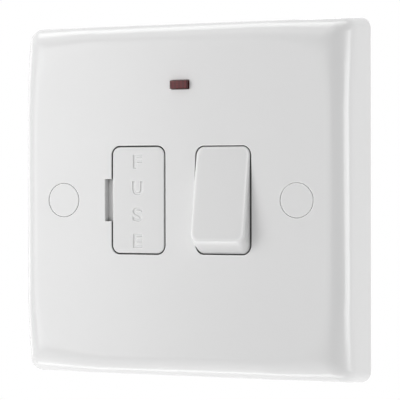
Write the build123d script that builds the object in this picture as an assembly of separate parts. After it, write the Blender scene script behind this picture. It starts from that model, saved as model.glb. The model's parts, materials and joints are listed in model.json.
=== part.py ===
from build123d import *
import math
import os

# Switched fused connection unit for a wall box, in millimetres.
# X runs to the right, Z up and Y into the wall. The origin is the centre of the plate's back rim.

# Front plate
plate_size = 86.0
plate_depth = 15.5
plate_draft = 0.95
plate_corner_radius = 2.6
face_edge_radius = 5.0
face_edge_steps = 8
hollow_edge_steps = 2
corner_edge_growth = 2.5
corner_edge_reach = 19.0
rim_edge = 0.15
front_wall = 2.8
side_wall = 2.4
rib_thickness = 1.2
rib_height = 4.0
bond = 0.3

# Fixing screws and their caps
fixing_pitch = 60.3
fixing_thread = 3.5
fixing_shank = 3.1
fixing_length = 25.0
fixing_head_diameter = 6.6
fixing_head_height = 2.2
fixing_slot = 1.0
fixing_hole_room = 0.35
fixing_seat_depth = 8.0
boss_wall = 1.35
boss_setback = 0.8
shank_past_boss = 0.2
tip_chamfer = 0.6
cap_over_head = 0.725
cap_thickness = 1.2
cap_skirt_depth = 2.4
cap_skirt_wall = 0.7
cap_clearance = 0.08

# Fuse carrier and rocker, side by side in the face
module_centre = 0.8
control_width = 13.6
window_gap = 0.3
carrier_corner_radius = 1.9
carrier_face = 2.2
carrier_edge = 0.35
carrier_cheek = 1.2
cheek_height = 15.0
carrier_travel = 12.0
barb_proud = 0.6
barb_length = 1.6
saddle_spacing = 6.4
saddle_thickness = 2.4
saddle_wall = 1.7
saddle_wrap = 1.4
pry_lip = 1.0
notch_width = 1.7
notch_height = 10.1
notch_depth = 2.0

# Cartridge fuse and its clips
fuse_length = 25.4
fuse_diameter = 6.35
fuse_cap_length = 6.3
fuse_cap_wall = 0.22
fuse_cover = 1.0
fuse_fit = 0.05
clip_thickness = 0.6
clip_length = 4.6
clip_fit = 0.08
clip_past_axis = 1.2
clip_flare = 0.9

# Rocker
rocker_end_radius = 13.8
rocker_pivot_depth = 6.0
rocker_front_reach = 8.05
rocker_tilt = 10.8
rocker_skirt = 2.6
rocker_wall = 1.6
rocker_corner_radius = 1.9
rocker_edge = 0.45
trunnion_diameter = 3.6
trunnion_length = 1.3
running_clearance = 0.05

# Sprung followers in the rocker's legs
leg_diameter = 4.4
leg_bore = 3.0
leg_reach = 9.5
plunger_reach = 14.0
plunger_nose = 1.2
plunger_grip = 6.0
plunger_taper = 0.8
spring_wire = 0.4
wire_sides = 6
spring_turns = 6
spring_seat = 0.8

# See-saw contact arms
arm_length = 9.5
arm_thickness = 0.9
arm_bend = 14.0
arm_swing = 8.0
arm_plunger_gap = 0.22
pivot_bead = 0.8
ear_thickness = 0.6
ear_width = 5.0
ear_gap = 0.2
pole_gap = 0.4
bracket_rise = 2.58
contact_diameter = 2.6
contact_base = 0.5
contact_dome = 0.3
contact_closed_gap = 0.06
fixed_contact_height = 0.8

# Brass straps
strap_thickness = 0.8
strap_width = 4.0
strap_clearance = 0.2
link_width = 2.5

# Terminals
block_width = 7.2
block_length = 9.0
block_gap = 0.3
block_edge = 0.4
cable_bore = 4.2
cable_rise = 2.9
line_load_offset = -4.0
terminal_screw = 3.5
terminal_head = 5.2
terminal_head_height = 1.8
terminal_lift = 2.6
terminal_slot = 0.9
tip_gap = 0.2
thread_fit = 0.03

# Rear housing
housing_wall = 1.6
housing_floor = 1.6
bearing_wall = 2.65
channel_wall = 2.25
keeper_gap = 0.2
barb_room = 1.0
rocker_room = 0.7
seat_gap = 0.1
barrier_thickness = 1.0
barrier_height = 9.0
box_corner = 2.0
flange_thickness = 1.8
flange_margin = 1.5
fin_thickness = 1.2
fin_gap = 0.15
panel_margin = 6.0
panel_depth = 0.4
boss_room = 0.8
ear_x = 28.0
ear_z = 22.0
ear_radius = 4.2
pillar_diameter = 6.4
pilot_spare = 0.9
tapper_core = 2.4
tapper_length = 9.5
tapper_head = 5.6
tapper_head_height = 1.9
tapper_hole_room = 0.4

# Indicator
lens_z = 27.3
lens_width = 4.5
lens_height = 1.95
lens_proud = 1.1
lens_edge = 0.25
lens_gap = 0.05
lens_flange = 0.75
lens_flange_thickness = 0.9
lamp_diameter = 4.0
lamp_length = 7.0
lamp_room = 0.2
tower_wall = 1.6
lead_diameter = 0.6
lead_spread = 1.6
lead_bend = 0.8
lead_standoff = 1.3
lead_from_box = 3.9
lead_hole = 1.4
resistor_diameter = 2.4
resistor_length = 6.5
resistor_waist = 0.3
resistor_bead = 1.6

# Depths, from the face to the back
face_y = -plate_depth
inner_y = face_y + front_wall
pivot_y = face_y + rocker_pivot_depth
fuse_y = face_y + carrier_face + fuse_cover + fuse_diameter / 2
arm_axis_y = pivot_y + plunger_reach + arm_plunger_gap + arm_thickness / math.cos(math.radians(arm_bend))
strap_y = arm_axis_y + bracket_rise
floor_y = strap_y + strap_thickness
floor_back = floor_y + housing_floor
flange_back = 0.0
flange_front = flange_back - flange_thickness
housing_front = inner_y + seat_gap
lamp_front = inner_y + lens_flange_thickness + seat_gap
lamp_back = lamp_front + lamp_length
lead_y = flange_front - lead_standoff

# Windows and chambers
carrier_height = fuse_length
window_half_width = control_width / 2 + window_gap
carrier_window_half = carrier_height / 2 + window_gap
rocker_window_radius = rocker_end_radius + window_gap
fuse_half_width = window_half_width + barb_room
switch_half = rocker_end_radius + rocker_room
channel_width = link_width + 2 * strap_clearance
slot_reach = trunnion_length + window_gap
trunnion_radius = trunnion_diameter / 2

# Places across the face
module_pitch = fuse_half_width + housing_wall + channel_width + channel_wall + window_half_width
carrier_x = module_centre - module_pitch / 2
rocker_x = module_centre + module_pitch / 2
channel_left = carrier_x + fuse_half_width + housing_wall
channel_right = channel_left + channel_width
box_half = switch_half + housing_wall
box_left = carrier_x - fuse_half_width - housing_wall
box_right = rocker_x + window_half_width + bearing_wall

# Two poles share the switch chamber, either side of a barrier
pole_room = window_half_width - barrier_thickness / 2
pole_pitch = pole_room + barrier_thickness
pole_x = {"line": rocker_x - pole_pitch / 2, "neutral": rocker_x + pole_pitch / 2}
bracket_half = pole_room / 2 - pole_gap
arm_width = 2 * (bracket_half - ear_thickness - ear_gap)
contact_from_pivot = arm_length - contact_diameter / 2

# Screw and cap sizes that follow from each other
cap_diameter = fixing_head_diameter + 2 * cap_over_head
cap_hole = cap_diameter + 2 * cap_clearance
boss_diameter = cap_hole + 2 * boss_wall
fixing_hole = fixing_thread + 2 * fixing_hole_room
pilot_diameter = tapper_core + 2 * thread_fit
pilot_depth = tapper_length - flange_thickness + pilot_spare
tapper_hole = tapper_core + 2 * tapper_hole_room

# Terminal places: X, and +1 for the top row or -1 for the bottom row
block_overhang = (block_width - strap_width) / 2
terminal_places = {
    "terminal_line_supply": (pole_x["line"] - block_overhang, -1),
    "terminal_neutral_supply": (pole_x["neutral"] + block_overhang, -1),
    "terminal_earth": (carrier_x + line_load_offset, -1),
    "terminal_line_load": (carrier_x + line_load_offset, 1),
    "terminal_neutral_load": (pole_x["neutral"] + block_overhang, 1),
}
block_near = box_half + block_gap
block_far = block_near + block_length
block_mid = (block_near + block_far) / 2
flange_half = block_far + flange_margin
lead_z = box_half + lead_from_box


def facing(y):
    """Sketch plane parallel to the wall at depth y, with X to the right and Z up."""
    return Plane(origin=(0, y, 0), x_dir=(1, 0, 0), z_dir=(0, -1, 0))


def slab(sketch, y_front, y_back):
    """Solid with an outline in X and Z, between two depths."""
    return extrude(facing(y_back) * sketch, y_back - y_front)


def slice_x(sketch, x_low, x_high):
    """Solid with an outline in Y and Z, between two values of X."""
    return extrude(Plane(origin=(x_low, 0, 0), x_dir=(0, 1, 0), z_dir=(1, 0, 0)) * sketch, x_high - x_low)


def slice_z(sketch, z_low, z_high):
    """Solid with an outline in X and Y, between two heights."""
    return extrude(Plane.XY.offset(z_low) * sketch, z_high - z_low)


def rect(low_a, high_a, low_b, high_b):
    """Rectangle between two pairs of limits."""
    return Pos((low_a + high_a) / 2, (low_b + high_b) / 2) * Rectangle(high_a - low_a, high_b - low_b)


def disc(a, b, diameter):
    """Circle at a place on the sketch plane."""
    return Pos(a, b) * Circle(diameter / 2)


def turned(*edges):
    """Solid of revolution about Y from the edges of a half section in X and Y."""
    return revolve(make_face(edges), Axis.Y)


def pan_screw(x, z, seat_y, to_head, head, head_height, sections, slot):
    """Slotted screw along Y: to_head is the way the head faces, sections are (diameter, length)."""
    y = seat_y
    screw = slab(disc(x, z, head), *sorted((seat_y, seat_y + to_head * head_height)))
    top = seat_y + to_head * head_height
    cut = slab(Pos(x, z) * Rectangle(head * 2, slot), *sorted((top, top - to_head * head_height / 2)))
    screw -= cut
    for diameter, length in sections:
        screw += slab(disc(x, z, diameter), *sorted((y, y - to_head * length)))
        y -= to_head * length
    return screw


# Front plate


def pillow(half, drop, corner):
    """Square outline with rounded corners, whose sides bend in by a drop towards each corner."""
    start = half - corner_edge_reach
    tip = half - drop
    edges = []
    for quarter in range(4):
        turn = Rot(Z=90 * quarter)
        edges.append(turn * Line((half, -start), (half, start)))
        for near, way in (((half, start), (0, 1)), ((start, half), (1, 0))):
            bend = TangentArc(near, (tip, tip), tangent=way) if drop else Line(near, (tip, tip))
            edges.append(turn * bend)
    outline = make_face(edges)
    tips = [point for point in outline.vertices() if math.isclose(abs(point.X), abs(point.Y))]
    return fillet(tips, corner)


def drawn_in(depth, radius):
    """How far an edge rounded to a radius has drawn in at a depth behind the face."""
    short = max(radius - depth, 0)
    return radius - math.sqrt(radius**2 - short**2)


def cushion(y_front, wall, steps):
    """Plate's outer form, drawn in by a wall: tapered sides, and an edge rounded more towards the corners."""
    edge = face_edge_radius - wall
    corner_edge = edge + corner_edge_growth
    corner = max(plate_corner_radius - wall, rib_thickness / 2)
    rim_half = plate_size / 2 - wall
    sections = [facing(0) * pillow(rim_half, 0, corner)]
    for step in range(steps + 1):
        depth = corner_edge * (1 - math.sin(math.radians(90 * step / steps)))
        edge_in = drawn_in(depth, edge)
        draft = plate_draft * min(1, (y_front + depth) / (y_front + edge))
        drop = drawn_in(depth, corner_edge) - edge_in
        sections.append(facing(y_front + depth) * pillow(rim_half - draft - edge_in, drop, corner))
    return loft(sections, ruled=True)


def make_front_plate():
    plate = cushion(face_y, 0, face_edge_steps) - cushion(inner_y, side_wall, hollow_edge_steps)
    root_y = inner_y - bond
    wall_x = plate_size / 2 - plate_draft - side_wall / 2
    for side in (-1, 1):
        x = side * fixing_pitch / 2
        plate += slab(disc(x, 0, boss_diameter), root_y, -boss_setback)
        rib = rect(*sorted((x, side * wall_x)), -rib_thickness / 2, rib_thickness / 2)
        plate += slab(rib, root_y, inner_y + rib_height)
        plate -= slab(disc(x, 0, cap_hole), face_y, face_y + fixing_seat_depth)
        plate -= slab(disc(x, 0, fixing_hole), face_y, 0)
        for end in (-1, 1):
            z = end * ear_z
            plate += slab(disc(side * ear_x, z, pillar_diameter), root_y, flange_front)
            rib = rect(*sorted((side * ear_x, side * wall_x)), z - rib_thickness / 2, z + rib_thickness / 2)
            plate += slab(rib, root_y, inner_y + rib_height)
            plate -= slab(disc(side * ear_x, z, pilot_diameter), flange_front - pilot_depth, flange_front)
    carrier_window = RectangleRounded(
        2 * window_half_width, 2 * carrier_window_half, carrier_corner_radius + window_gap
    )
    plate -= slab(Pos(carrier_x, 0) * carrier_window, face_y, inner_y)
    rocker_window = Circle(rocker_window_radius) & rect(
        -rocker_pivot_depth, front_wall - rocker_pivot_depth, -rocker_window_radius, rocker_window_radius
    )
    rocker_window = slice_x(rocker_window, -window_half_width, window_half_width)
    rocker_window = fillet(
        rocker_window.edges().filter_by(GeomType.CIRCLE), rocker_corner_radius + window_gap
    )
    plate -= Pos(rocker_x, pivot_y, 0) * rocker_window
    notch_right = carrier_x - control_width / 2
    notch = rect(notch_right - window_gap - notch_width, notch_right, -notch_height / 2, notch_height / 2)
    plate -= slab(notch, face_y, face_y + notch_depth)
    lens_window = Rectangle(lens_width + 2 * lens_gap, lens_height + 2 * lens_gap)
    plate -= slab(Pos(module_centre, lens_z) * lens_window, face_y, inner_y)
    rims = [rim.edges() for rim in plate.faces().sort_by(Axis.Y)[0].inner_wires()]
    plate = chamfer([edge for rim in rims for edge in rim], rim_edge)
    return plate + make_keepers(root_y)


def make_keepers(root_y):
    """Two short lugs that close the mouths of the rocker's bearing slots."""
    lug_end = pivot_y - trunnion_radius - 2 * running_clearance
    lug_half = trunnion_radius - 2 * running_clearance
    keepers = Part()
    for side in (-1, 1):
        near = rocker_x + side * (window_half_width + keeper_gap)
        far = rocker_x + side * (window_half_width + slot_reach - keeper_gap)
        keepers += slab(rect(*sorted((near, far)), -lug_half, lug_half), root_y, lug_end)
    return keepers


def make_cap(side):
    """Push-in cap: a disc flush with the face, on a short skirt."""
    x = side * fixing_pitch / 2
    skirt_back = face_y + cap_thickness + cap_skirt_depth
    cap = slab(disc(x, 0, cap_diameter), face_y, skirt_back)
    cap = chamfer(cap.faces().sort_by(Axis.Y)[0].edges(), rim_edge)
    bore = cap_diameter - 2 * cap_skirt_wall
    return cap - slab(disc(x, 0, bore), face_y + cap_thickness, skirt_back)


def make_fixing_screws():
    seat_y = face_y + fixing_seat_depth
    shank_length = shank_past_boss - boss_setback - seat_y
    sections = ((fixing_shank, shank_length), (fixing_thread, fixing_length - shank_length))
    screws = []
    for side in (-1, 1):
        x = side * fixing_pitch / 2
        screw = pan_screw(x, 0, seat_y, -1, fixing_head_diameter, fixing_head_height, sections, fixing_slot)
        tip = screw.faces().sort_by(Axis.Y)[-1].edges()
        screws.append(chamfer(tip, tip_chamfer))
    return Compound(children=screws)


# Fuse carrier and fuse


def make_fuse_carrier():
    """Drawer with a flush face, two barbed cheeks and two saddles for the fuse."""
    inside_y = face_y + carrier_face
    barb_front = inner_y + carrier_travel + running_clearance
    tail_y = barb_front + barb_length
    half = control_width / 2
    outline = RectangleRounded(control_width, carrier_height, carrier_corner_radius)
    carrier = slab(outline, face_y, inside_y)
    carrier = fillet(carrier.faces().sort_by(Axis.Y)[0].edges(), carrier_edge)
    for side in (-1, 1):
        cheek_x = sorted((side * (half - carrier_cheek), side * half))
        cheek = rect(*cheek_x, -cheek_height / 2, cheek_height / 2)
        carrier += slab(cheek, inside_y - bond, tail_y)
        barb = Polyline(
            (side * (half - carrier_cheek), barb_front),
            (side * (half + window_gap + barb_proud), barb_front),
            (side * half, tail_y),
            (side * (half - carrier_cheek), tail_y),
            close=True,
        )
        carrier += slice_z(make_face(barb), -cheek_height / 2, cheek_height / 2)
    tube_room = fuse_diameter - 2 * fuse_cap_wall
    saddle_half = tube_room / 2 + saddle_wall
    saddle = rect(-saddle_half, saddle_half, inside_y - bond, fuse_y + saddle_wrap)
    saddle -= Pos(0, fuse_y) * Circle(tube_room / 2)
    for end in (-1, 1):
        z = end * saddle_spacing / 2
        carrier += slice_z(saddle, z - saddle_thickness / 2, z + saddle_thickness / 2)
    lip = rect(-half, pry_lip - half, -notch_height / 2, notch_height / 2)
    carrier -= slab(lip, face_y + pry_lip, face_y + notch_depth)
    return Pos(carrier_x, 0, 0) * carrier


def make_fuse_tube():
    diameter = fuse_diameter - 2 * fuse_cap_wall - 2 * fuse_fit
    half = fuse_length / 2 - fuse_cap_wall - fuse_fit
    return slice_z(disc(carrier_x, fuse_y, diameter), -half, half)


def make_fuse_caps():
    """Two pressed metal cups on the ends of the tube."""
    caps = []
    half = fuse_length / 2
    bore = fuse_diameter - 2 * fuse_cap_wall
    for end in (-1, 1):
        inner, outer = end * (half - fuse_cap_length), end * half
        cup = slice_z(disc(carrier_x, fuse_y, fuse_diameter), *sorted((inner, outer)))
        cup = chamfer(cup.faces().sort_by(Axis.Z)[0 if end < 0 else -1].edges(), fuse_cap_wall)
        hollow = slice_z(disc(carrier_x, fuse_y, bore), *sorted((inner, outer - end * fuse_cap_wall)))
        caps.append(cup - hollow)
    return Compound(children=caps)


clip_seat_y = fuse_y + fuse_diameter / 2 + clip_fit + clip_thickness
clip_out = carrier_window_half - strap_clearance
clip_in = clip_out - strap_thickness - clip_length


def make_fuse_clip(end):
    """Spring fork that grips one end cap, with flared tips."""
    inner = fuse_diameter / 2 + clip_fit
    outer = inner + clip_thickness
    tip_y = fuse_y - clip_past_axis
    flare_y = tip_y - clip_flare
    right = [
        (outer, clip_seat_y),
        (outer, tip_y),
        (outer + clip_flare, flare_y),
        (inner + clip_flare, flare_y),
        (inner, tip_y),
        (inner, clip_seat_y - clip_thickness),
    ]
    left = [(-x, y) for x, y in reversed(right)]
    fork = make_face(Polyline(*right, *left, close=True))
    return slice_z(Pos(carrier_x, 0) * fork, *sorted((end * clip_in, end * (clip_out - strap_thickness))))


# Rocker and its sprung followers

rocker_at_rest = Pos(rocker_x, pivot_y, 0) * Rot(X=-rocker_tilt)


def make_rocker():
    """Hollow rocker: flat front, ends round about the pivot, two trunnions and two bored legs."""
    half = control_width / 2
    section = Circle(rocker_end_radius) & rect(
        -rocker_front_reach, rocker_skirt, -rocker_end_radius, rocker_end_radius
    )
    rocker = slice_x(section, -half, half)
    rocker = fillet(rocker.edges().filter_by(GeomType.CIRCLE), rocker_corner_radius)
    rocker = fillet(rocker.faces().sort_by(Axis.Y)[0].edges(), rocker_edge)
    inside_y = rocker_wall - rocker_front_reach
    inside_radius = rocker_end_radius - rocker_wall
    hollow = Circle(inside_radius) & rect(inside_y, rocker_skirt, -inside_radius, inside_radius)
    rocker -= slice_x(hollow, rocker_wall - half, half - rocker_wall)
    for side in (-1, 1):
        x = side * pole_pitch / 2
        rocker += slab(disc(x, 0, leg_diameter), inside_y - bond, leg_reach)
        rocker -= slab(disc(x, 0, leg_bore), inside_y + spring_seat, leg_reach)
        trunnion = sorted((side * (half - bond), side * (half + trunnion_length)))
        rocker += slice_x(Circle(trunnion_radius), *trunnion)
    return rocker_at_rest * rocker


def make_plunger(pole):
    """Turned follower with a round nose."""
    radius = leg_bore / 2 - running_clearance
    back = leg_reach - plunger_grip
    shoulder = leg_reach + plunger_taper
    nose_y = plunger_reach - plunger_nose
    outline = Polyline(
        (0, nose_y + plunger_nose),
        (0, back),
        (radius, back),
        (radius, shoulder),
        (plunger_nose, shoulder + plunger_taper),
        (plunger_nose, nose_y),
    )
    nose = CenterArc((0, nose_y), plunger_nose, 0, 90)
    plunger = turned(*outline.edges(), nose)
    return rocker_at_rest * Pos(pole_x[pole] - rocker_x, 0, 0) * plunger


def make_spring(pole):
    """Coil spring between the bottom of the leg's bore and the plunger."""
    low = rocker_wall - rocker_front_reach + spring_seat + spring_wire / 2 + running_clearance
    high = leg_reach - plunger_grip - spring_wire / 2 - running_clearance
    radius = leg_bore / 2 - running_clearance - spring_wire / 2
    coil = Helix((high - low) / spring_turns, high - low, radius, center=(0, low, 0), direction=(0, 1, 0))
    wire = Plane(origin=coil @ 0, z_dir=coil % 0) * RegularPolygon(spring_wire / 2, wire_sides)
    spring = sweep(wire, path=coil, is_frenet=True)
    return rocker_at_rest * Pos(pole_x[pole] - rocker_x, 0, 0) * spring


# Contact arms and contacts

bend = math.radians(arm_bend)
closed_bend = math.radians(arm_bend - arm_swing)


def arm_at_rest(pole):
    return Pos(pole_x[pole], arm_axis_y, 0) * Rot(X=arm_swing)


def make_contact_arm(pole):
    """Strip bent to a shallow V, with a round bead across its middle that it rocks on."""
    tip = (-arm_length * math.sin(bend), arm_length * math.cos(bend))
    tip_front = (tip[0] - arm_thickness * math.cos(bend), tip[1] - arm_thickness * math.sin(bend))
    section = Polyline(
        (0, 0),
        tip,
        tip_front,
        (-arm_thickness / math.cos(bend), 0),
        (tip_front[0], -tip_front[1]),
        (tip[0], -tip[1]),
        close=True,
    )
    arm = slice_x(make_face(section), -arm_width / 2, arm_width / 2)
    arm += slice_x(Circle(pivot_bead), -bracket_half, bracket_half)
    return arm_at_rest(pole) * arm


dome_radius = (contact_diameter**2 / 4 + contact_dome**2) / (2 * contact_dome)


def make_moving_contact(pole):
    """Domed contact button on the back of the arm's upper wing."""
    radius = contact_diameter / 2
    top = contact_base + contact_dome
    outline = Polyline((0, top), (0, 0), (radius, 0), (radius, contact_base))
    dome = RadiusArc((radius, contact_base), (0, top), -dome_radius)
    button = turned(*outline.edges(), dome)
    seat = (0, -contact_from_pivot * math.sin(bend), contact_from_pivot * math.cos(bend))
    return arm_at_rest(pole) * Pos(*seat) * Rot(X=arm_bend) * button


# Where the dome comes to when the switch is on
dome_offset = contact_base + contact_dome - dome_radius
closed_y = dome_offset * math.cos(closed_bend) + dome_radius - contact_from_pivot * math.sin(closed_bend)
contact_z = contact_from_pivot * math.cos(closed_bend) + dome_offset * math.sin(closed_bend)
fixed_face_y = arm_axis_y + closed_y + contact_closed_gap
ledge_y = fixed_face_y + fixed_contact_height
riser_z = switch_half - strap_clearance
ledge_in = contact_z - strap_width / 2


def make_fixed_contact(pole):
    return slab(disc(pole_x[pole], contact_z, contact_diameter), fixed_face_y, ledge_y)


# Straps


def folded_seat(x, width, z_out, z_in, seat_y):
    """Strip on the housing floor that turns up at z_out and back in to a ledge at seat_y."""
    z_fold = z_out - math.copysign(strap_thickness, z_out)
    section = Polyline(
        (floor_y, z_in),
        (floor_y, z_out),
        (seat_y, z_out),
        (seat_y, z_in),
        (seat_y + strap_thickness, z_in),
        (seat_y + strap_thickness, z_fold),
        (strap_y, z_fold),
        (strap_y, z_in),
        close=True,
    )
    return slice_x(make_face(section), x - width / 2, x + width / 2)


def floor_bar(low_x, high_x, low_z, high_z):
    """Flat run of strap on the housing floor."""
    return slab(rect(low_x, high_x, low_z, high_z), strap_y, floor_y)


def strap_tail(terminal, strap_x, z_start):
    """Run of strap through the housing wall and over the back of a terminal block."""
    x, row = terminal_places[terminal]
    half = strap_width / 2
    tail = floor_bar(strap_x - half, strap_x + half, *sorted((row * z_start, row * block_far)))
    tail += floor_bar(x - block_width / 2, x + block_width / 2, *sorted((row * block_near, row * block_far)))
    return tail - slab(disc(x, row * block_mid, terminal_screw + 2 * strap_clearance), strap_y, floor_y)


def make_pivot_bracket(pole):
    """Supply strap with two notched ears that carry the contact arm."""
    x = pole_x[pole]
    bracket = strap_tail(f"terminal_{pole}_supply", x, 0)
    bracket += floor_bar(x - bracket_half, x + bracket_half, -ear_width / 2, ear_width / 2)
    ear = rect(arm_axis_y - pivot_bead, floor_y, -ear_width / 2, ear_width / 2)
    notch_half = pivot_bead + running_clearance
    ear -= Pos(arm_axis_y, 0) * Circle(notch_half)
    ear -= rect(arm_axis_y - pivot_bead, arm_axis_y, -notch_half, notch_half)
    for side in (-1, 1):
        near, far = x + side * (bracket_half - ear_thickness), x + side * bracket_half
        bracket += slice_x(ear, *sorted((near, far)))
    return bracket


def make_link_strap():
    """From the line contact's ledge, down the channel between the chambers, to the lower fuse clip."""
    x = pole_x["line"]
    link_left = channel_left + strap_clearance
    link_right = link_left + link_width
    link = folded_seat(x, strap_width, riser_z, ledge_in, ledge_y)
    link += floor_bar(link_left, x, riser_z - strap_width, riser_z)
    link += floor_bar(link_left, link_right, -clip_out, riser_z)
    link += floor_bar(carrier_x, link_right, -clip_out, -clip_in)
    return link + folded_seat(carrier_x, strap_width, -clip_out, -clip_in, clip_seat_y)


def make_load_strap_line():
    """From the upper fuse clip to the line load terminal."""
    strap = folded_seat(carrier_x, strap_width, clip_out, clip_in, clip_seat_y)
    tail_x = terminal_places["terminal_line_load"][0]
    low_x, high_x = sorted((carrier_x, tail_x))
    strap += floor_bar(low_x - strap_width / 2, high_x, clip_in, clip_out)
    return strap + strap_tail("terminal_line_load", tail_x, clip_in)


def make_load_strap_neutral():
    """From the neutral contact's ledge to the neutral load terminal."""
    x = pole_x["neutral"]
    strap = folded_seat(x, strap_width, riser_z, ledge_in, ledge_y)
    return strap + strap_tail("terminal_neutral_load", x, ledge_in)


# Terminals


def make_terminal(name):
    """Brass clamp block with a cable bore along Z and a screw hole from the back."""
    x, row = terminal_places[name]
    low_z, high_z = sorted((row * block_near, row * block_far))
    block = slab(rect(x - block_width / 2, x + block_width / 2, low_z, high_z), flange_back, strap_y)
    block = chamfer(block.edges().filter_by(Axis.Y), block_edge)
    block -= slice_z(disc(x, cable_rise, cable_bore), low_z, high_z)
    hole = terminal_screw + 2 * thread_fit
    return block - slab(disc(x, row * block_mid, hole), cable_rise, strap_y)


def make_terminal_screws():
    """One screw for each block, backed off clear of the cable bore."""
    screws = []
    head_y = floor_y + terminal_lift
    tip_y = cable_rise + cable_bore / 2 + tip_gap
    sections = ((terminal_screw, head_y - tip_y),)
    for x, row in terminal_places.values():
        z = row * block_mid
        screw = pan_screw(x, z, head_y, 1, terminal_head, terminal_head_height, sections, terminal_slot)
        screws.append(screw)
    return Compound(children=screws)


# Rear housing


def flange_outline():
    """Shelf behind the terminals, with an ear at each screw and a tab for the indicator."""
    left, right = box_left - flange_margin, box_right + flange_margin
    outline = rect(left, right, -flange_half, flange_half)
    for x, edge in ((-ear_x, left), (ear_x, right)):
        for z in (-ear_z, ear_z):
            outline += rect(*sorted((x, edge)), z - ear_radius, z + ear_radius)
            outline += Pos(x, z) * Circle(ear_radius)
    tab_radius = lamp_diameter / 2 + lamp_room + tower_wall + flange_margin
    outline += rect(module_centre - tab_radius, module_centre + tab_radius, 0, lens_z)
    outline += Pos(module_centre, lens_z) * Circle(tab_radius)
    for side in (-1, 1):
        outline -= disc(side * fixing_pitch / 2, 0, boss_diameter + 2 * boss_room)
    return outline


def strap_slots():
    """Openings at floor level where straps pass through the housing's walls."""
    slots = Part()
    exits = (
        (pole_x["line"], -1),
        (pole_x["neutral"], -1),
        (pole_x["neutral"], 1),
        (terminal_places["terminal_line_load"][0], 1),
    )
    half = strap_width / 2 + strap_clearance
    for x, row in exits:
        slots += floor_slot(x - half, x + half, *sorted((0, row * box_half)))
    slots += floor_slot(
        channel_left, pole_x["line"], riser_z - strap_width - strap_clearance, riser_z + strap_clearance
    )
    slots += floor_slot(carrier_x, channel_right, -clip_out - strap_clearance, strap_clearance - clip_in)
    return slots


def floor_slot(low_x, high_x, low_z, high_z):
    return slab(rect(low_x, high_x, low_z, high_z), strap_y - strap_clearance, floor_y)


def make_rear_housing():
    """Moulded base: two chambers, a strap channel, bearing slots, terminal shelves and barriers."""
    box = slab(rect(box_left, box_right, -box_half, box_half), housing_front, floor_back)
    box = fillet(box.edges().filter_by(Axis.Y), box_corner)
    housing = box + slab(flange_outline(), flange_front, flange_back)
    for x, row in terminal_places.values():
        for side in (-1, 1):
            near = x + side * (block_width / 2 + fin_gap)
            far = near + side * fin_thickness
            fin_z = sorted((row * (box_half - bond), row * flange_half))
            housing += slab(rect(*sorted((near, far)), *fin_z), flange_front, floor_back)
    tower_diameter = lamp_diameter + 2 * (lamp_room + tower_wall)
    housing += slab(disc(module_centre, lens_z, tower_diameter), lamp_front, flange_back)
    housing -= make_chambers()
    barrier = Pos(rocker_x, 0) * Rectangle(barrier_thickness, 2 * switch_half)
    housing += slab(barrier, floor_y - barrier_height, floor_y)
    housing -= strap_slots()
    housing -= make_bearing_slots()
    for x in (-ear_x, ear_x):
        for z in (-ear_z, ear_z):
            housing -= slab(disc(x, z, tapper_hole), flange_front, flange_back)
    housing -= make_lamp_room()
    panel = rect(
        box_left + panel_margin, box_right - panel_margin, panel_margin - box_half, box_half - panel_margin
    )
    return housing - slab(panel, floor_back - panel_depth, floor_back)


def make_chambers():
    """Hollows for the fuse, the switch and the strap between them."""
    fuse_room = rect(
        carrier_x - fuse_half_width, carrier_x + fuse_half_width, -carrier_window_half, carrier_window_half
    )
    switch_room = rect(
        rocker_x - window_half_width, rocker_x + window_half_width, -switch_half, switch_half
    )
    channel = rect(channel_left, channel_right, -switch_half, switch_half)
    rooms = slab(fuse_room, housing_front, floor_y)
    rooms += slab(switch_room, housing_front, floor_y)
    return rooms + slab(channel, housing_front, floor_y)


def make_bearing_slots():
    """U-shaped slots, open to the front, that the rocker's trunnions turn in."""
    radius = trunnion_radius + running_clearance
    section = Pos(pivot_y, 0) * Circle(radius) + rect(housing_front, pivot_y, -radius, radius)
    reach = window_half_width + slot_reach
    return slice_x(section, rocker_x - reach, rocker_x + reach)


def make_lamp_room():
    """Bore for the lamp, a way out for its leads, and their holes through the shelf."""
    room = slab(
        disc(module_centre, lens_z, lamp_diameter + 2 * lamp_room),
        inner_y + lens_flange_thickness,
        flange_front,
    )
    way_half = lead_spread / 2 + lead_diameter
    way = rect(module_centre - way_half, module_centre + way_half, lead_z, lens_z)
    room += slab(way, lamp_back, flange_front)
    for name in ("terminal_line_load", "terminal_neutral_load"):
        room += slab(disc(terminal_places[name][0], lead_z, lead_hole), flange_front, flange_back)
    return room


def make_housing_screws():
    sections = ((tapper_core, tapper_length),)
    return Compound(
        children=[
            pan_screw(x, z, flange_back, 1, tapper_head, tapper_head_height, sections, terminal_slot)
            for x in (-ear_x, ear_x)
            for z in (-ear_z, ear_z)
        ]
    )


# Indicator


def make_neon_lens():
    """Window block that stands a little proud of the face, with a flange behind the plate."""
    at = Pos(module_centre, lens_z)
    lens = slab(at * Rectangle(lens_width, lens_height), face_y - lens_proud, inner_y)
    lens = fillet(lens.faces().sort_by(Axis.Y)[0].edges(), lens_edge)
    collar = Rectangle(lens_width + 2 * lens_flange, lens_height + 2 * lens_flange)
    return lens + slab(at * collar, inner_y, inner_y + lens_flange_thickness)


def make_neon_lamp():
    """Sealed glass capsule with a round front."""
    radius = lamp_diameter / 2
    outline = Polyline((0, lamp_front), (0, lamp_back), (radius, lamp_back), (radius, lamp_front + radius))
    dome = CenterArc((0, lamp_front + radius), radius, 270, 90)
    return Pos(module_centre, 0, lens_z) * turned(*outline.edges(), dome)


def lead(*points):
    """Wire through points joined by even bends."""
    path = FilletPolyline(*points, radius=lead_bend)
    wire = RegularPolygon(lead_diameter / 2, wire_sides)
    return sweep(Plane(origin=path @ 0, z_dir=path % 0) * wire, path=path)


resistor_mid = (module_centre + terminal_places["terminal_neutral_load"][0]) / 2


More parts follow.
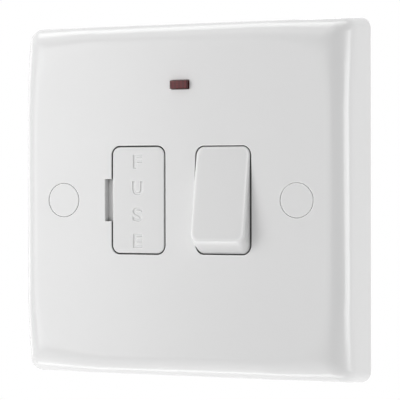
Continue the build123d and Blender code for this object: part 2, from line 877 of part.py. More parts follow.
def make_neon_leads():
    """One lead to the line load block, and one to the neutral load block by way of the resistor."""
    left = module_centre - lead_spread / 2
    right = module_centre + lead_spread / 2
    line_x = terminal_places["terminal_line_load"][0]
    neutral_x = terminal_places["terminal_neutral_load"][0]
    near, far = resistor_mid - resistor_length / 2, resistor_mid + resistor_length / 2
    to_line = lead(
        (left, lamp_back, lens_z),
        (left, lead_y, lens_z),
        (left, lead_y, lead_z),
        (line_x, lead_y, lead_z),
        (line_x, flange_back, lead_z),
    )
    to_resistor = lead(
        (right, lamp_back, lens_z), (right, lead_y, lens_z), (right, lead_y, lead_z), (near, lead_y, lead_z)
    )
    to_neutral = lead((far, lead_y, lead_z), (neutral_x, lead_y, lead_z), (neutral_x, flange_back, lead_z))
    return Compound(children=[to_line, to_resistor, to_neutral])


def make_neon_resistor():
    """Axial resistor with a slight waist."""
    radius = resistor_diameter / 2
    half = resistor_length / 2
    outline = Polyline(
        (0, half),
        (0, -half),
        (radius, -half),
        (radius, resistor_bead - half),
        (radius - resistor_waist, resistor_bead - half + resistor_waist),
        (radius - resistor_waist, half - resistor_bead - resistor_waist),
        (radius, half - resistor_bead),
        (radius, half),
        close=True,
    )
    return Pos(resistor_mid, lead_y, lead_z) * Rot(Z=-90) * revolve(make_face(outline), Axis.Y)


nodes = {
    "front_plate": make_front_plate(),
    "screw_cap_left": make_cap(-1),
    "screw_cap_right": make_cap(1),
    "fixing_screws": make_fixing_screws(),
    "rear_housing": make_rear_housing(),
    "housing_screws": make_housing_screws(),
    "rocker": make_rocker(),
    "fuse_carrier": make_fuse_carrier(),
    "fuse_tube": make_fuse_tube(),
    "fuse_caps": make_fuse_caps(),
    "fuse_clip_lower": make_fuse_clip(-1),
    "fuse_clip_upper": make_fuse_clip(1),
    "link_strap": make_link_strap(),
    "load_strap_line": make_load_strap_line(),
    "load_strap_neutral": make_load_strap_neutral(),
    "terminal_screws": make_terminal_screws(),
    "neon_lens": make_neon_lens(),
    "neon_lamp": make_neon_lamp(),
    "neon_leads": make_neon_leads(),
    "neon_resistor": make_neon_resistor(),
}
for pole in pole_x:
    nodes[f"plunger_{pole}"] = make_plunger(pole)
    nodes[f"spring_{pole}"] = make_spring(pole)
    nodes[f"contact_arm_{pole}"] = make_contact_arm(pole)
    nodes[f"moving_contact_{pole}"] = make_moving_contact(pole)
    nodes[f"fixed_contact_{pole}"] = make_fixed_contact(pole)
    nodes[f"pivot_bracket_{pole}"] = make_pivot_bracket(pole)
for name in terminal_places:
    nodes[name] = make_terminal(name)

os.makedirs("parts", exist_ok=True)
for name, node in nodes.items():
    export_step(node, f"parts/{name}.step")
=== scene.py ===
import json
import math

import bmesh
import bpy
from mathutils import Matrix, Vector


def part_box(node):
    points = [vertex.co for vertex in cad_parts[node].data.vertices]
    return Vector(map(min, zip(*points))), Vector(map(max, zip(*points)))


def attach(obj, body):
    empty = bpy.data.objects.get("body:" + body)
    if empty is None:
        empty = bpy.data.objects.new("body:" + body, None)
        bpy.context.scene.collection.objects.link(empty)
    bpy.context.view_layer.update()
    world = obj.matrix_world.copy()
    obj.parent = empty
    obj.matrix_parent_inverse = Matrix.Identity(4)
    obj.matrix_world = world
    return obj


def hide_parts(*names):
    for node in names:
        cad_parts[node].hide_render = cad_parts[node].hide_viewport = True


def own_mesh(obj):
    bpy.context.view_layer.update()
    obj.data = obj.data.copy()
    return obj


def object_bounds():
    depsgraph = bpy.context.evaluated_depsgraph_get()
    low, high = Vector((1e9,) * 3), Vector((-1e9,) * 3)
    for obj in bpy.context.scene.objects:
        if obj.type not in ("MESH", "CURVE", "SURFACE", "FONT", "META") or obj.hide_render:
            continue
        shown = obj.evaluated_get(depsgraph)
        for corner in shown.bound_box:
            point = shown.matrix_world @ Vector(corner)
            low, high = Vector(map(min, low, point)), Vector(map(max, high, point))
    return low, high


# Switched fused connection unit, dressed for the studio. Everything is in metres, in the part's own frame:
# X to the right, Z up and Y into the wall.

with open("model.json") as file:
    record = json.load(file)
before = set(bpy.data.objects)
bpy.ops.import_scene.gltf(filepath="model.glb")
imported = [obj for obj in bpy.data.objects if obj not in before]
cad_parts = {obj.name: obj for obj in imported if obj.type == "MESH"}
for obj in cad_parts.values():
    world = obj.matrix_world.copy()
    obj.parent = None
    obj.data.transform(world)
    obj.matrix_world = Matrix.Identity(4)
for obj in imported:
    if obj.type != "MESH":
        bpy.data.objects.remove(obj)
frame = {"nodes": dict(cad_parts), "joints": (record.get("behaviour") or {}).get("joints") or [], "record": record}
cad_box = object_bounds()
nodes = frame["nodes"]
joints = {joint["name"]: joint for joint in frame["joints"]}
mounts = {mount["name"]: mount for mount in frame["record"]["mounts"]}
slot_of = {part["node"]: part["material_slot"] for part in frame["record"]["subparts"]}
scene = bpy.context.scene
mm = 0.001

# Camera, fitted to the plate's outline and caps in the photograph. Angles are in degrees.
image_size = 400
sensor_width = 36.0
camera_distance = 462.5 * mm
camera_azimuth = 23.43
camera_elevation = 0.31
camera_roll = -0.08
camera_clip_start = 10 * mm
focal_pixels = 1895.4
centre_pixel = (203.1, 199.8)

# Studio panels: place of the middle, width and height (or depth, where a panel lies level), and watts
panels = {
    "front": ((0, -0.7, 0), (0.4, 0.4), 0.5),
    "front_left": ((-0.335, -0.371, 0.015), (0.3, 0.5), 1.27),
    "left": ((-0.47, 0.17, 0), (0.2, 0.4), 0.22),
    "right_soft": ((0.59, -0.1, 0), (0.2, 0.3), 0.02),
    "right_strip": ((0.582, 0.145, 0), (0.37, 0.27), 1.34),
    "top_front": ((-0.1, -0.35, 0.5), (0.6, 0.3), 0.43),
    "top_strip": ((-0.1, 0.09, 0.6), (0.82, 0.34), 2.4),
    "bottom_strip": ((-0.03, -0.004, -0.155), (0.24, 0.025), 0.068),
    "back": ((0, 0.6, 0.02), (0.4, 0.4), 0.9),
}
# A panel lies level where its direction from the plate is at least this upright
level_from = 0.8
# Even fill that the world gives the object
ambient = 0.165

# Table under the plate: its glow on the object, and the share of plain white near the plate and further off
table_half = 3.0
table_gap = 120 * mm
table_cloud = 30 * mm
table_colours = ((0.86, 0.86, 0.86), (0.9, 0.9, 0.9))
table_roughness = 0.9
table_glow = 0.63
table_white_near = 0.55
table_shadow_reach = 80 * mm
table_white_from = 260 * mm

# Noise seldom leaves this span
noise_span = (0.3, 0.7)

# Mouldings: painted shade in their gaps and beside raised parts, and painted highlights along outer edges
painted_shade_reach = 1.5 * mm
rocker_painted_shade_reach = 1.1 * mm
painted_shade_dark = 0.08
painted_shade_span = (0.1, 0.58)
painted_highlight_reach = 0.3 * mm
rocker_painted_highlight_reach = 1.0 * mm
painted_highlight_pale = 1.2
painted_highlight_span = (0.78, 0.97)
painted_light_samples = 8
plastic_cloud = 9 * mm
plastic_gloss = 4 * mm
plastic_spread = (0.95, 1.05)

# Plastics: colour, roughness, size and depth of the skin's grain, and shade of the clouding
white = (0.83, 0.83, 0.83)
off_white = (0.8, 0.8, 0.8)
plastics = {
    "plate_white": (white, 0.22, 0.5 * mm, 0.001 * mm, 0.995),
    "control_white": (off_white, 0.22, 0.4 * mm, 0.001 * mm, 0.995),
    "base_white": ((0.74, 0.74, 0.72), 0.5, 0.16 * mm, 0.02 * mm, 0.95),
    "plunger_nylon": ((0.75, 0.74, 0.7), 0.45, 0.2 * mm, 0.01 * mm, 0.94),
}

# Metals: colour, roughness, size and stretch of the tool marks, and shade of the dull patches
metal_patch = 2.5 * mm
metal_spread = (0.75, 1.3)
mark_depth = 0.01 * mm
even = (1, 1, 1)
metals = {
    "fuse_metal": ((0.78, 0.77, 0.73), 0.24, 0.12 * mm, (1, 1, 0.2), 0.85),
    "clip_bronze": ((0.66, 0.47, 0.27), 0.34, 0.1 * mm, (1, 1, 8), 0.72),
    "strap_brass": ((0.75, 0.57, 0.29), 0.32, 0.1 * mm, (1, 1, 9), 0.72),
    "terminal_brass": ((0.78, 0.6, 0.31), 0.3, 0.09 * mm, (7, 1, 1), 0.72),
    "arm_copper": ((0.72, 0.44, 0.3), 0.34, 0.1 * mm, (1, 1, 8), 0.72),
    "contact_silver": ((0.84, 0.84, 0.82), 0.26, 0.12 * mm, even, 0.72),
    "spring_steel": ((0.6, 0.6, 0.61), 0.28, 0.1 * mm, even, 0.72),
    "lead_metal": ((0.74, 0.74, 0.72), 0.36, 0.12 * mm, even, 0.72),
    "plated_steel": ((0.72, 0.72, 0.7), 0.3, 0.14 * mm, even, 0.85),
}

# Shading: edges sharper than these angles, in degrees, stay crisp
crisp_angle = 32
screw_angle = 40
coil_angle = 60
lead_angle = 75
weld_reach = 0.0005 * mm

# Lettering on the fuse carrier: letters with their widths, one under the other
letter_widths = {"F": 2.5 * mm, "U": 2.8 * mm, "S": 2.75 * mm, "E": 2.55 * mm}
letter_height = 3.45 * mm
letter_pitch = 6.3 * mm
letter_bold = 0.22 * mm
letter_slope = 0.24 * mm
letter_depth = 0.28 * mm
letter_shift = -0.155 * mm
letter_drop = 0.3 * mm
letter_curve_steps = 6
letter_weld_reach = 0.001 * mm

# Screws: threads
thread_pitch = 0.6 * mm
thread_depth = 0.26 * mm
thread_sides = 32
thread_rings_per_turn = 8
# Flanks steeper than a plain zigzag leave a flat crest
flank_steepness = 1.25

# Screws: heads, with shares of their height and radius. The rim is rounded in steps of a few degrees.
head_rim_share = 0.45
head_ease_share = 0.06
head_seat_share = 0.97
head_rim_step = 15
slot_share = 0.5
slot_overrun = 1.2

# Screws: sizes of each kind
fixing_head = 2.2 * mm
fixing_slot = 1.0 * mm
fixing_plain_to = -0.6 * mm
terminal_head = 1.8 * mm
terminal_radius = 1.75 * mm
terminal_slot = 0.9 * mm
tapper_head = 1.9 * mm
tapper_radius = 1.2 * mm
tapper_x = 28 * mm
tapper_z = 22 * mm

# Plunger springs
coil_turns = 7
coil_closed_turns = 1
coil_steps = 30
wire_sides = 10


# Node trees


def start_material(name):
    """New material, its node tree and its Principled shader."""
    material = bpy.data.materials.new(name)
    material.use_nodes = True
    return material, material.node_tree, material.node_tree.nodes["Principled BSDF"]


def add_node(tree, kind, **settings):
    node = tree.nodes.new(kind)
    for key, value in settings.items():
        setattr(node, key, value)
    return node


def add_place(tree):
    """Place on the object, in metres."""
    return add_node(tree, "ShaderNodeTexCoord").outputs["Object"]


def add_noise(tree, size, detail=2.0, stretch=even):
    """Noise with blobs of a given size in metres, drawn out along any axis with a stretch above 1."""
    mapping = add_node(tree, "ShaderNodeMapping")
    mapping.inputs["Scale"].default_value = [1 / (size * share) for share in stretch]
    noise = add_node(tree, "ShaderNodeTexNoise")
    noise.inputs["Scale"].default_value = 1.0
    noise.inputs["Detail"].default_value = detail
    tree.links.new(add_place(tree), mapping.inputs["Vector"])
    tree.links.new(mapping.outputs["Vector"], noise.inputs["Vector"])
    return noise.outputs["Fac"]


def add_range(tree, value, low, high, span=noise_span):
    """Value moved from its span onto the span low to high."""
    node = add_node(tree, "ShaderNodeMapRange")
    for socket, number in zip(("From Min", "From Max", "To Min", "To Max"), (*span, low, high)):
        node.inputs[socket].default_value = number
    tree.links.new(value, node.inputs["Value"])
    return node.outputs["Result"]


def add_blend(tree, value, first, second, span=noise_span):
    """Colour that goes from first to second as value goes through its span."""
    ramp = add_node(tree, "ShaderNodeValToRGB")
    for stop, place, colour in zip(ramp.color_ramp.elements, span, (first, second)):
        stop.position = place
        stop.color = (*colour, 1)
    tree.links.new(value, ramp.inputs["Fac"])
    return ramp.outputs["Color"]


def add_colour(tree, shader, colour):
    tree.links.new(colour, shader.inputs["Base Color"])


def add_roughness(tree, shader, value, low, high):
    """Roughness that follows a noise from low to high."""
    tree.links.new(add_range(tree, value, low, high), shader.inputs["Roughness"])


def add_bump(tree, shader, height, depth):
    bump = add_node(tree, "ShaderNodeBump")
    bump.inputs["Distance"].default_value = depth
    tree.links.new(height, bump.inputs["Height"])
    tree.links.new(bump.outputs["Normal"], shader.inputs["Normal"])


def add_math(tree, operation, first, second):
    node = add_node(tree, "ShaderNodeMath", operation=operation)
    tree.links.new(first, node.inputs[0])
    tree.links.new(second, node.inputs[1])
    return node.outputs[0]


def add_seen(tree, lit):
    """Strength of 1 for rays from the eye, gloss or glass, and of lit for those that light the object."""
    rays = add_node(tree, "ShaderNodeLightPath").outputs
    direct = add_math(tree, "MAXIMUM", rays["Is Camera Ray"], rays["Is Glossy Ray"])
    seen = add_math(tree, "MAXIMUM", direct, rays["Is Transmission Ray"])
    return add_range(tree, seen, lit, 1.0, (0.0, 1.0))


def scaled(values, share):
    return tuple(value * share for value in values)


# Materials


def add_painted_light(tree, colour, reach, painted_share, span, inside):
    """Colour scaled by a share where other faces come within a reach: painted shade outside in gaps, painted
    highlight inside at edges.
    """
    near = add_node(tree, "ShaderNodeAmbientOcclusion", inside=inside, only_local=inside)
    near.samples = painted_light_samples
    near.inputs["Distance"].default_value = reach
    mix = add_node(tree, "ShaderNodeVectorMath", operation="SCALE")
    tree.links.new(colour, mix.inputs[0])
    tree.links.new(add_range(tree, near.outputs["AO"], painted_share, 1.0, span), mix.inputs["Scale"])
    return mix.outputs["Vector"]


def moulded_plastic(name, colour, roughness, grain, grain_depth, cloud,
                    gap=painted_shade_reach, edge=painted_highlight_reach):
    """Moulded plastic: faint clouding, painted shade in gaps, painted highlights on edges, slightly uneven gloss
    and a fine skin.
    """
    material, tree, shader = start_material(name)
    clouds = add_blend(tree, add_noise(tree, plastic_cloud), scaled(colour, cloud), colour)
    # Painted shade: colour darker in gaps and beside raised parts, where shade falls
    shaded_colour = add_painted_light(tree, clouds, gap, painted_shade_dark, painted_shade_span, False)
    # Painted highlights: colour paler along outer edges and fillets
    add_colour(tree, shader, add_painted_light(tree, shaded_colour, edge, painted_highlight_pale, painted_highlight_span, True))
    add_roughness(tree, shader, add_noise(tree, plastic_gloss), *scaled(plastic_spread, roughness))
    add_bump(tree, shader, add_noise(tree, grain), grain_depth)
    return material


def worked_metal(name, colour, roughness, grain, stretch, dull):
    """Metal with tool marks along one way, and duller patches where it has been handled."""
    material, tree, shader = start_material(name)
    shader.inputs["Metallic"].default_value = 1.0
    patches = add_noise(tree, metal_patch, detail=4)
    add_colour(tree, shader, add_blend(tree, patches, scaled(colour, dull), colour))
    marks = add_noise(tree, grain, detail=3, stretch=stretch)
    add_roughness(tree, shader, marks, *scaled(metal_spread, roughness))
    add_bump(tree, shader, marks, mark_depth)
    return material


def red_lens():
    """Clear red moulding with faint prisms on its back showing through."""
    deep, bright = (0.075, 0.003, 0.005), (0.115, 0.005, 0.008)
    roughness = (0.16, 0.24)
    gloss_patch = 0.8 * mm
    material, tree, shader = start_material("lens_red")
    shader.inputs["Specular IOR Level"].default_value = 0.42
    prisms = add_node(tree, "ShaderNodeTexWave", wave_type="BANDS", bands_direction="X")
    prisms.inputs["Scale"].default_value = 0.3 / mm
    prisms.inputs["Distortion"].default_value = 0.4
    tree.links.new(add_place(tree), prisms.inputs["Vector"])
    add_colour(tree, shader, add_blend(tree, prisms.outputs["Fac"], deep, bright))
    add_roughness(tree, shader, add_noise(tree, gloss_patch), *roughness)
    return material


def lamp_glass():
    """Clear glass with a faint smoky deposit."""
    smoky, clear = (0.82, 0.8, 0.78), (0.97, 0.97, 0.96)
    roughness = (0.04, 0.12)
    soot_patch = 2 * mm
    material, tree, shader = start_material("lamp_glass")
    shader.inputs["Transmission Weight"].default_value = 0.9
    shader.inputs["IOR"].default_value = 1.5
    soot = add_noise(tree, soot_patch, detail=3)
    add_colour(tree, shader, add_blend(tree, soot, smoky, clear))
    add_roughness(tree, shader, soot, *roughness)
    return material


def fired_ceramic():
    """Unglazed tube with fine specks."""
    speck, body = (0.62, 0.58, 0.5), (0.82, 0.8, 0.74)
    roughness = (0.7, 0.55)
    speck_size = 0.25 * mm
    speck_depth = 0.02 * mm
    speck_span = (0.28, 0.46)
    material, tree, shader = start_material("fuse_ceramic")
    specks = add_noise(tree, speck_size, detail=5)
    add_colour(tree, shader, add_blend(tree, specks, speck, body, speck_span))
    add_roughness(tree, shader, specks, *roughness)
    add_bump(tree, shader, specks, speck_depth)
    return material


def banded_resistor():
    """Lacquered body with plain colour bands across it, placed by shares of its length."""
    lacquer, red, yellow = (0.55, 0.4, 0.24), (0.3, 0.03, 0.02), (0.75, 0.6, 0.05)
    band_starts = ((0.1, red), (0.32, red), (0.54, yellow))
    band_width = 0.07
    roughness = (0.3, 0.45)
    gloss_patch = 0.6 * mm
    material, tree, shader = start_material("resistor_body")
    low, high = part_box("neon_resistor")
    split = add_node(tree, "ShaderNodeSeparateXYZ")
    tree.links.new(add_place(tree), split.inputs["Vector"])
    along = add_range(tree, split.outputs["X"], 0.0, 1.0, (low.x, high.x))
    bands = add_node(tree, "ShaderNodeValToRGB")
    stops = bands.color_ramp
    stops.interpolation = "CONSTANT"
    stops.elements.remove(stops.elements[1])
    stops.elements[0].color = (*lacquer, 1)
    for start, colour in band_starts:
        stops.elements.new(start).color = (*colour, 1)
        stops.elements.new(start + band_width).color = (*lacquer, 1)
    tree.links.new(along, bands.inputs["Fac"])
    add_colour(tree, shader, bands.outputs["Color"])
    add_roughness(tree, shader, add_noise(tree, gloss_patch), *roughness)
    return material


# The rocker has its own reach for painted shade in gaps and painted highlights on edges
rocker_painted_light_reach = (rocker_painted_shade_reach, rocker_painted_highlight_reach)
rocker_white = moulded_plastic("rocker_white", *plastics["control_white"], *rocker_painted_light_reach)
materials = {
    "lens_red": red_lens(),
    "lamp_glass": lamp_glass(),
    "resistor_body": banded_resistor(),
    "fuse_ceramic": fired_ceramic(),
}
materials.update((name, moulded_plastic(name, *finish)) for name, finish in plastics.items())
materials.update((name, worked_metal(name, *finish)) for name, finish in metals.items())


# Pieces and their shading


def weld_points(piece):
    weld = piece.modifiers.new("weld", "WELD")
    weld.merge_threshold = weld_reach


def smooth_solid(piece, angle=crisp_angle):
    """Round faces shade smooth, and edges sharper than the angle stay crisp."""
    for polygon in piece.data.polygons:
        polygon.use_smooth = True
    weld_points(piece)
    split = piece.modifiers.new("edges", "EDGE_SPLIT")
    split.split_angle = math.radians(angle)
    split.use_edge_sharp = False
    normals = piece.modifiers.new("normals", "WEIGHTED_NORMAL")
    normals.weight = 100


def paint(piece, material):
    piece.data.materials.clear()
    piece.data.materials.append(material)


def new_piece(mesh, node, body):
    """Piece that stands for a CAD node: it rides on the node's body and takes its finish from its slot."""
    piece = bpy.data.objects.new(mesh.name, mesh)
    scene.collection.objects.link(piece)
    paint(piece, materials[slot_of[node]])
    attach(piece, body)
    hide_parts(node)
    return piece


def evaluated_mesh(piece):
    graph = bpy.context.evaluated_depsgraph_get()
    return bpy.data.meshes.new_from_object(piece.evaluated_get(graph))


def mesh_of(shape, name):
    """Mesh from a bmesh, with its faces turned outwards."""
    bmesh.ops.recalc_face_normals(shape, faces=shape.faces)
    mesh = bpy.data.meshes.new(name)
    shape.to_mesh(mesh)
    shape.free()
    return mesh


def carved(mesh, cutter, name):
    """Mesh with a second mesh cut out of it."""
    blank, tool = (bpy.data.objects.new(name, data) for data in (mesh, cutter))
    for helper in (blank, tool):
        scene.collection.objects.link(helper)
    weld_points(blank)
    cut = blank.modifiers.new("cut", "BOOLEAN")
    cut.operation = "DIFFERENCE"
    cut.solver = "EXACT"
    cut.object = tool
    bpy.context.view_layer.update()
    result = evaluated_mesh(blank)
    result.name = name
    for helper in (blank, tool):
        bpy.data.objects.remove(helper)
    return result


def add_tube(shape, rings):
    """Skin of quads over rings of points, closed at both ends."""
    loops = [[shape.verts.new(point) for point in ring] for ring in rings]
    for first, second in zip(loops, loops[1:]):
        for i in range(len(first)):
            j = (i + 1) % len(first)
            shape.faces.new((first[i], first[j], second[j], second[i]))
    shape.faces.new(loops[0])
    shape.faces.new(loops[-1])


# Fuse carrier, with its word sunk into the face


def letter_mesh(letter):
    """Bold block letter in plan, with sides that slope in on both faces."""
    text = bpy.data.curves.new("letter", "FONT")
    text.body = letter
    text.resolution_u = letter_curve_steps
    holder = bpy.data.objects.new("letter", text)
    scene.collection.objects.link(holder)
    bpy.context.view_layer.update()
    plain = evaluated_mesh(holder)
    tall = max(v.co.y for v in plain.vertices) - min(v.co.y for v in plain.vertices)
    unit = tall / letter_height
    text.bevel_depth = letter_slope * unit
    text.bevel_resolution = 0
    text.offset = (letter_bold - letter_slope) * unit
    bpy.context.view_layer.update()
    mesh = evaluated_mesh(holder)
    bpy.data.objects.remove(holder)
    return mesh


def letter_cutter(face_y, centre_x):
    """Block letters one under the other, standing through the face."""
    joined = bmesh.new()
    for place, (letter, width) in enumerate(letter_widths.items()):
        mesh = letter_mesh(letter)
        spans = [(min(v.co[i] for v in mesh.vertices), max(v.co[i] for v in mesh.vertices)) for i in (0, 1)]
        scales = [size / (high - low) for size, (low, high) in zip((width, letter_height), spans)]
        sink = letter_depth / max(v.co.z for v in mesh.vertices)
        middle_z = letter_pitch * ((len(letter_widths) - 1) / 2 - place) - letter_drop
        for vertex in mesh.vertices:
            across, up = ((vertex.co[i] - sum(spans[i]) / 2) * scales[i] for i in (0, 1))
            vertex.co = Vector((centre_x + across, face_y - vertex.co.z * sink, middle_z + up))
        joined.from_mesh(mesh)
    bmesh.ops.remove_doubles(joined, verts=joined.verts, dist=letter_weld_reach)
    return mesh_of(joined, "letter_cutter")


def make_fuse_carrier():
    low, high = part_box("fuse_carrier")
    cutter = letter_cutter(low.y, (low.x + high.x) / 2 + letter_shift)
    mesh = carved(nodes["fuse_carrier"].data.copy(), cutter, "fuse_carrier_lettered")
    smooth_solid(new_piece(mesh, "fuse_carrier", "fuse_carrier"))


# Screws


def circle(x, y, z, radius):
    """Points round an axis along Y."""
    turns = [2 * math.pi * side / thread_sides for side in range(thread_sides)]
    return [(x + radius * math.cos(turn), y, z + radius * math.sin(turn)) for turn in turns]


def head_rings(x, z, seat_y, way, radius, height):
    """Pan head: an eased seat, a short upright side, and a top rounded over at its rim."""
    rim = height * head_rim_share
    seat = circle(x, seat_y, z, radius * head_seat_share)
    rings = [seat, circle(x, seat_y + way * height * head_ease_share, z, radius)]
    for angle in range(0, 90 + head_rim_step, head_rim_step):
        turn = math.radians(angle)
        y = seat_y + way * (height - rim + rim * math.sin(turn))
        rings.append(circle(x, y, z, radius - rim * (1 - math.cos(turn))))
    return rings


def thread_rings(x, z, start_y, end_y, radius):
    """Rings of a threaded shank from its head end to its blunted tip."""
    length = abs(end_y - start_y)
    way = math.copysign(1, end_y - start_y)
    count = round(length / thread_pitch * thread_rings_per_turn)
    rings = []
    for step in range(count + 1):
        along = length * step / count
        left = (length - along) / thread_pitch
        room = min(1.0, along / thread_pitch)
        outer = radius - thread_depth * max(0.0, 1 - left)
        ring = []
        for side in range(thread_sides):
            turn = 2 * math.pi * side / thread_sides
            wave = (along / thread_pitch - way * side / thread_sides) % 1.0
            valley = max(0.0, abs(2 * wave - 1) * flank_steepness - (flank_steepness - 1))
            reach = outer - thread_depth * room * valley
            ring.append((x + reach * math.cos(turn), start_y + way * along, z + reach * math.sin(turn)))
        rings.append(ring)
    return rings


def slot_rings(x, z, top_y, way, radius, width, depth):
    """Rings of a square bar across a head, deep enough for its slot."""
    reach = slot_overrun * radius
    corners = ((-reach, -width / 2), (reach, -width / 2), (reach, width / 2), (-reach, width / 2))
    return [[(x + a, y, z + b) for a, b in corners] for y in (top_y - way * depth, top_y + way * depth)]


def make_screws(node, places, way, head_height, slot_width, thread_radius, plain_to=None):
    """Slotted screws of one node: the head faces along way, and the shank runs to the node's other end."""
    low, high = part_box(node)
    top_y, tip_y = (high.y, low.y) if way > 0 else (low.y, high.y)
    seat_y = top_y - way * head_height
    head_radius = (high.x - low.x - (max(x for x, z in places) - min(x for x, z in places))) / 2
    heads, slots, shanks = bmesh.new(), bmesh.new(), bmesh.new()
    for x, z in places:
        add_tube(heads, head_rings(x, z, seat_y, way, head_radius, head_height))
        add_tube(slots, slot_rings(x, z, top_y, way, head_radius, slot_width, slot_share * head_height))
        thread_start = seat_y
        if plain_to is not None:
            core = thread_radius - thread_depth
            add_tube(shanks, [circle(x, seat_y, z, core), circle(x, plain_to, z, core)])
            thread_start = plain_to
        add_tube(shanks, thread_rings(x, z, thread_start, tip_y, thread_radius))
    mesh = carved(mesh_of(heads, "heads"), mesh_of(slots, "slots"), node + "_threaded")
    both = bmesh.new()
    both.from_mesh(mesh)
    both.from_mesh(mesh_of(shanks, "shanks"))
    both.to_mesh(mesh)
    both.free()
    smooth_solid(new_piece(mesh, node, "unit"), screw_angle)


def make_all_screws():
    studs = mounts["fixing_studs"]["dims"]
    pitch = studs["spacing_x_mm"] * mm
    stud_radius = studs["stud_r_mm"] * mm
    stud_places = [(-pitch / 2, 0), (pitch / 2, 0)]
    make_screws("fixing_screws", stud_places, -1, fixing_head, fixing_slot, stud_radius, fixing_plain_to)
    cables = [mount["pos_m"] for name, mount in mounts.items() if name.startswith("cable_")]
    clamp_places = [(x, z) for x, y, z in cables]
    make_screws("terminal_screws", clamp_places, 1, terminal_head, terminal_slot, terminal_radius)
    tapper_places = [(x, z) for x in (-tapper_x, tapper_x) for z in (-tapper_z, tapper_z)]
    make_screws("housing_screws", tapper_places, 1, tapper_head, terminal_slot, tapper_radius)


# Springs


def coil_rise(turns, length, wire):
    """Height along a coil whose end turns lie against each other."""
    open_turns = coil_turns - 2 * coil_closed_turns
    fast = (length - 2 * coil_closed_turns * wire) / open_turns
    opened = min(max(turns - coil_closed_turns, 0), open_turns)
    return wire * (turns - opened) + fast * opened


def make_spring(pole):
    """Round wire coil where the CAD coil lies, carried on the rocker's body."""
    node, joint = f"spring_{pole}", joints[f"plunger_{pole}_slide"]
    axis = -Vector(joint["axis"]).normalized()
    low_corner, high_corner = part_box(node)
    foot = Vector(joints["rocker_tilt"]["pos_m"])
    foot.x = (low_corner.x + high_corner.x) / 2
    reaches = [vertex.co - foot for vertex in nodes[node].data.vertices]
    heights = [reach.dot(axis) for reach in reaches]
    spreads = [(reach - axis * height).length for reach, height in zip(reaches, heights)]
    low, high = min(heights), max(heights)
    wire = (max(spreads) - min(spreads)) / 2
    radius = max(spreads) - wire
    side = Vector((1, 0, 0))
    other = axis.cross(side)
    angles = [2 * math.pi * i / wire_sides for i in range(wire_sides)]
    rings = []
    for step in range(coil_turns * coil_steps + 1):
        turns = step / coil_steps
        turn = 2 * math.pi * turns
        out = side * math.cos(turn) + other * math.sin(turn)
        rise = low + wire + coil_rise(turns, high - low - 2 * wire, 2 * wire)
        centre = foot + axis * rise + out * radius
        rings.append([centre + out * (wire * math.cos(a)) + axis * (wire * math.sin(a)) for a in angles])
    shape = bmesh.new()
    add_tube(shape, rings)
    spring = new_piece(mesh_of(shape, node + "_coil"), node, "rocker")
    smooth_solid(spring, coil_angle)
    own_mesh(spring)


# Dressing: each node has its slot's finish, but the rocker has its own reach of painted shade and painted
# highlight, and the caps match the plate

own_finish = {"rocker": rocker_white}
own_finish.update((f"screw_cap_{side}", materials["plate_white"]) for side in ("left", "right"))
own_angle = {"neon_leads": lead_angle}
for name, node in nodes.items():
    paint(node, own_finish.get(name, materials[slot_of[name]]))
    smooth_solid(node, own_angle.get(name, crisp_angle))
make_fuse_carrier()
make_all_screws()
for pole in ("line", "neutral"):
    make_spring(pole)


# Studio


def toward(azimuth, elevation):
    """Unit vector from the plate: degrees round it from the front, and degrees above it."""
    turn, rise = math.radians(azimuth), math.radians(elevation)
    return Vector((math.sin(turn) * math.cos(rise), -math.cos(turn) * math.cos(rise), math.sin(rise)))


def place_camera():
    data = bpy.data.cameras.new("camera")
    data.sensor_width = sensor_width
    data.lens = focal_pixels * sensor_width / image_size
    data.shift_x = (image_size / 2 - centre_pixel[0]) / image_size
    data.shift_y = (centre_pixel[1] - image_size / 2) / image_size
    data.clip_start = camera_clip_start
    camera = bpy.data.objects.new("camera", data)
    back = toward(camera_azimuth, camera_elevation)
    right = Vector((0, 0, 1)).cross(back).normalized()
    upright = Matrix((right, back.cross(right), back)).transposed()
    roll = Matrix.Rotation(math.radians(camera_roll), 4, "Z")
    camera.matrix_world = Matrix.Translation(back * camera_distance) @ upright.to_4x4() @ roll
    scene.collection.objects.link(camera)
    scene.camera = camera


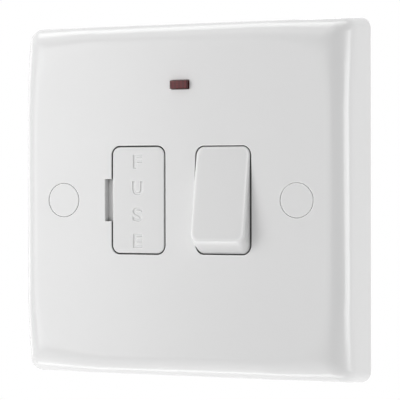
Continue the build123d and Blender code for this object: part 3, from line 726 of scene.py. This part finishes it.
def hang_panel(name, place, size, watts):
    """Soft light that faces the plate's middle, or straight down or up where it hangs over or under it."""
    data = bpy.data.lights.new(name, "AREA")
    data.shape = "RECTANGLE"
    data.size, data.size_y = size
    data.energy = watts
    panel = bpy.data.objects.new(name, data)
    back = Vector(place).normalized()
    sideways = Vector((0, 0, 1)).cross(back).normalized()
    if abs(back.z) > level_from:
        back = Vector((0, 0, math.copysign(1, back.z)))
        sideways = Vector((1, 0, 0))
    facing = Matrix((sideways, back.cross(sideways), back)).transposed()
    panel.matrix_world = Matrix.Translation(place) @ facing.to_4x4()
    panel.visible_camera = False
    scene.collection.objects.link(panel)


def light_world():
    """White to the eye and in reflections, with a faint even fill on the object."""
    world = bpy.data.worlds.new("studio")
    world.use_nodes = True
    tree = world.node_tree
    background = tree.nodes["Background"]
    background.inputs["Color"].default_value = (1, 1, 1, 1)
    tree.links.new(add_seen(tree, ambient), background.inputs["Strength"])
    scene.world = world


def pale_table():
    """Pale board that keeps a soft shadow near the plate, and gives way to plain white further off."""
    material, tree, shader = start_material("table_white")
    add_colour(tree, shader, add_blend(tree, add_noise(tree, table_cloud, detail=3), *table_colours))
    shader.inputs["Roughness"].default_value = table_roughness
    shader.inputs["Specular IOR Level"].default_value = 0.0
    glow = add_node(tree, "ShaderNodeEmission")
    tree.links.new(add_seen(tree, table_glow), glow.inputs["Strength"])
    away = add_node(tree, "ShaderNodeVectorMath", operation="LENGTH")
    tree.links.new(add_place(tree), away.inputs[0])
    fade = (table_shadow_reach, table_white_from)
    mix = add_node(tree, "ShaderNodeMixShader")
    tree.links.new(add_range(tree, away.outputs["Value"], table_white_near, 1.0, fade), mix.inputs["Fac"])
    tree.links.new(shader.outputs["BSDF"], mix.inputs[1])
    tree.links.new(glow.outputs["Emission"], mix.inputs[2])
    tree.links.new(mix.outputs["Shader"], tree.nodes["Material Output"].inputs["Surface"])
    return material


def lay_table():
    """Level table under the plate, which the wall fixings hold clear of it."""
    corners = [(x * table_half, y * table_half, 0) for x, y in ((-1, -1), (1, -1), (1, 1), (-1, 1))]
    mesh = bpy.data.meshes.new("table")
    mesh.from_pydata(corners, [], [(0, 1, 2, 3)])
    table = bpy.data.objects.new("table", mesh)
    table.location.z = cad_box[0].z - table_gap
    scene.collection.objects.link(table)
    table.data.materials.append(pale_table())


place_camera()
for name, panel in panels.items():
    hang_panel(name, *panel)
light_world()
lay_table()
scene.view_settings.view_transform = "Standard"
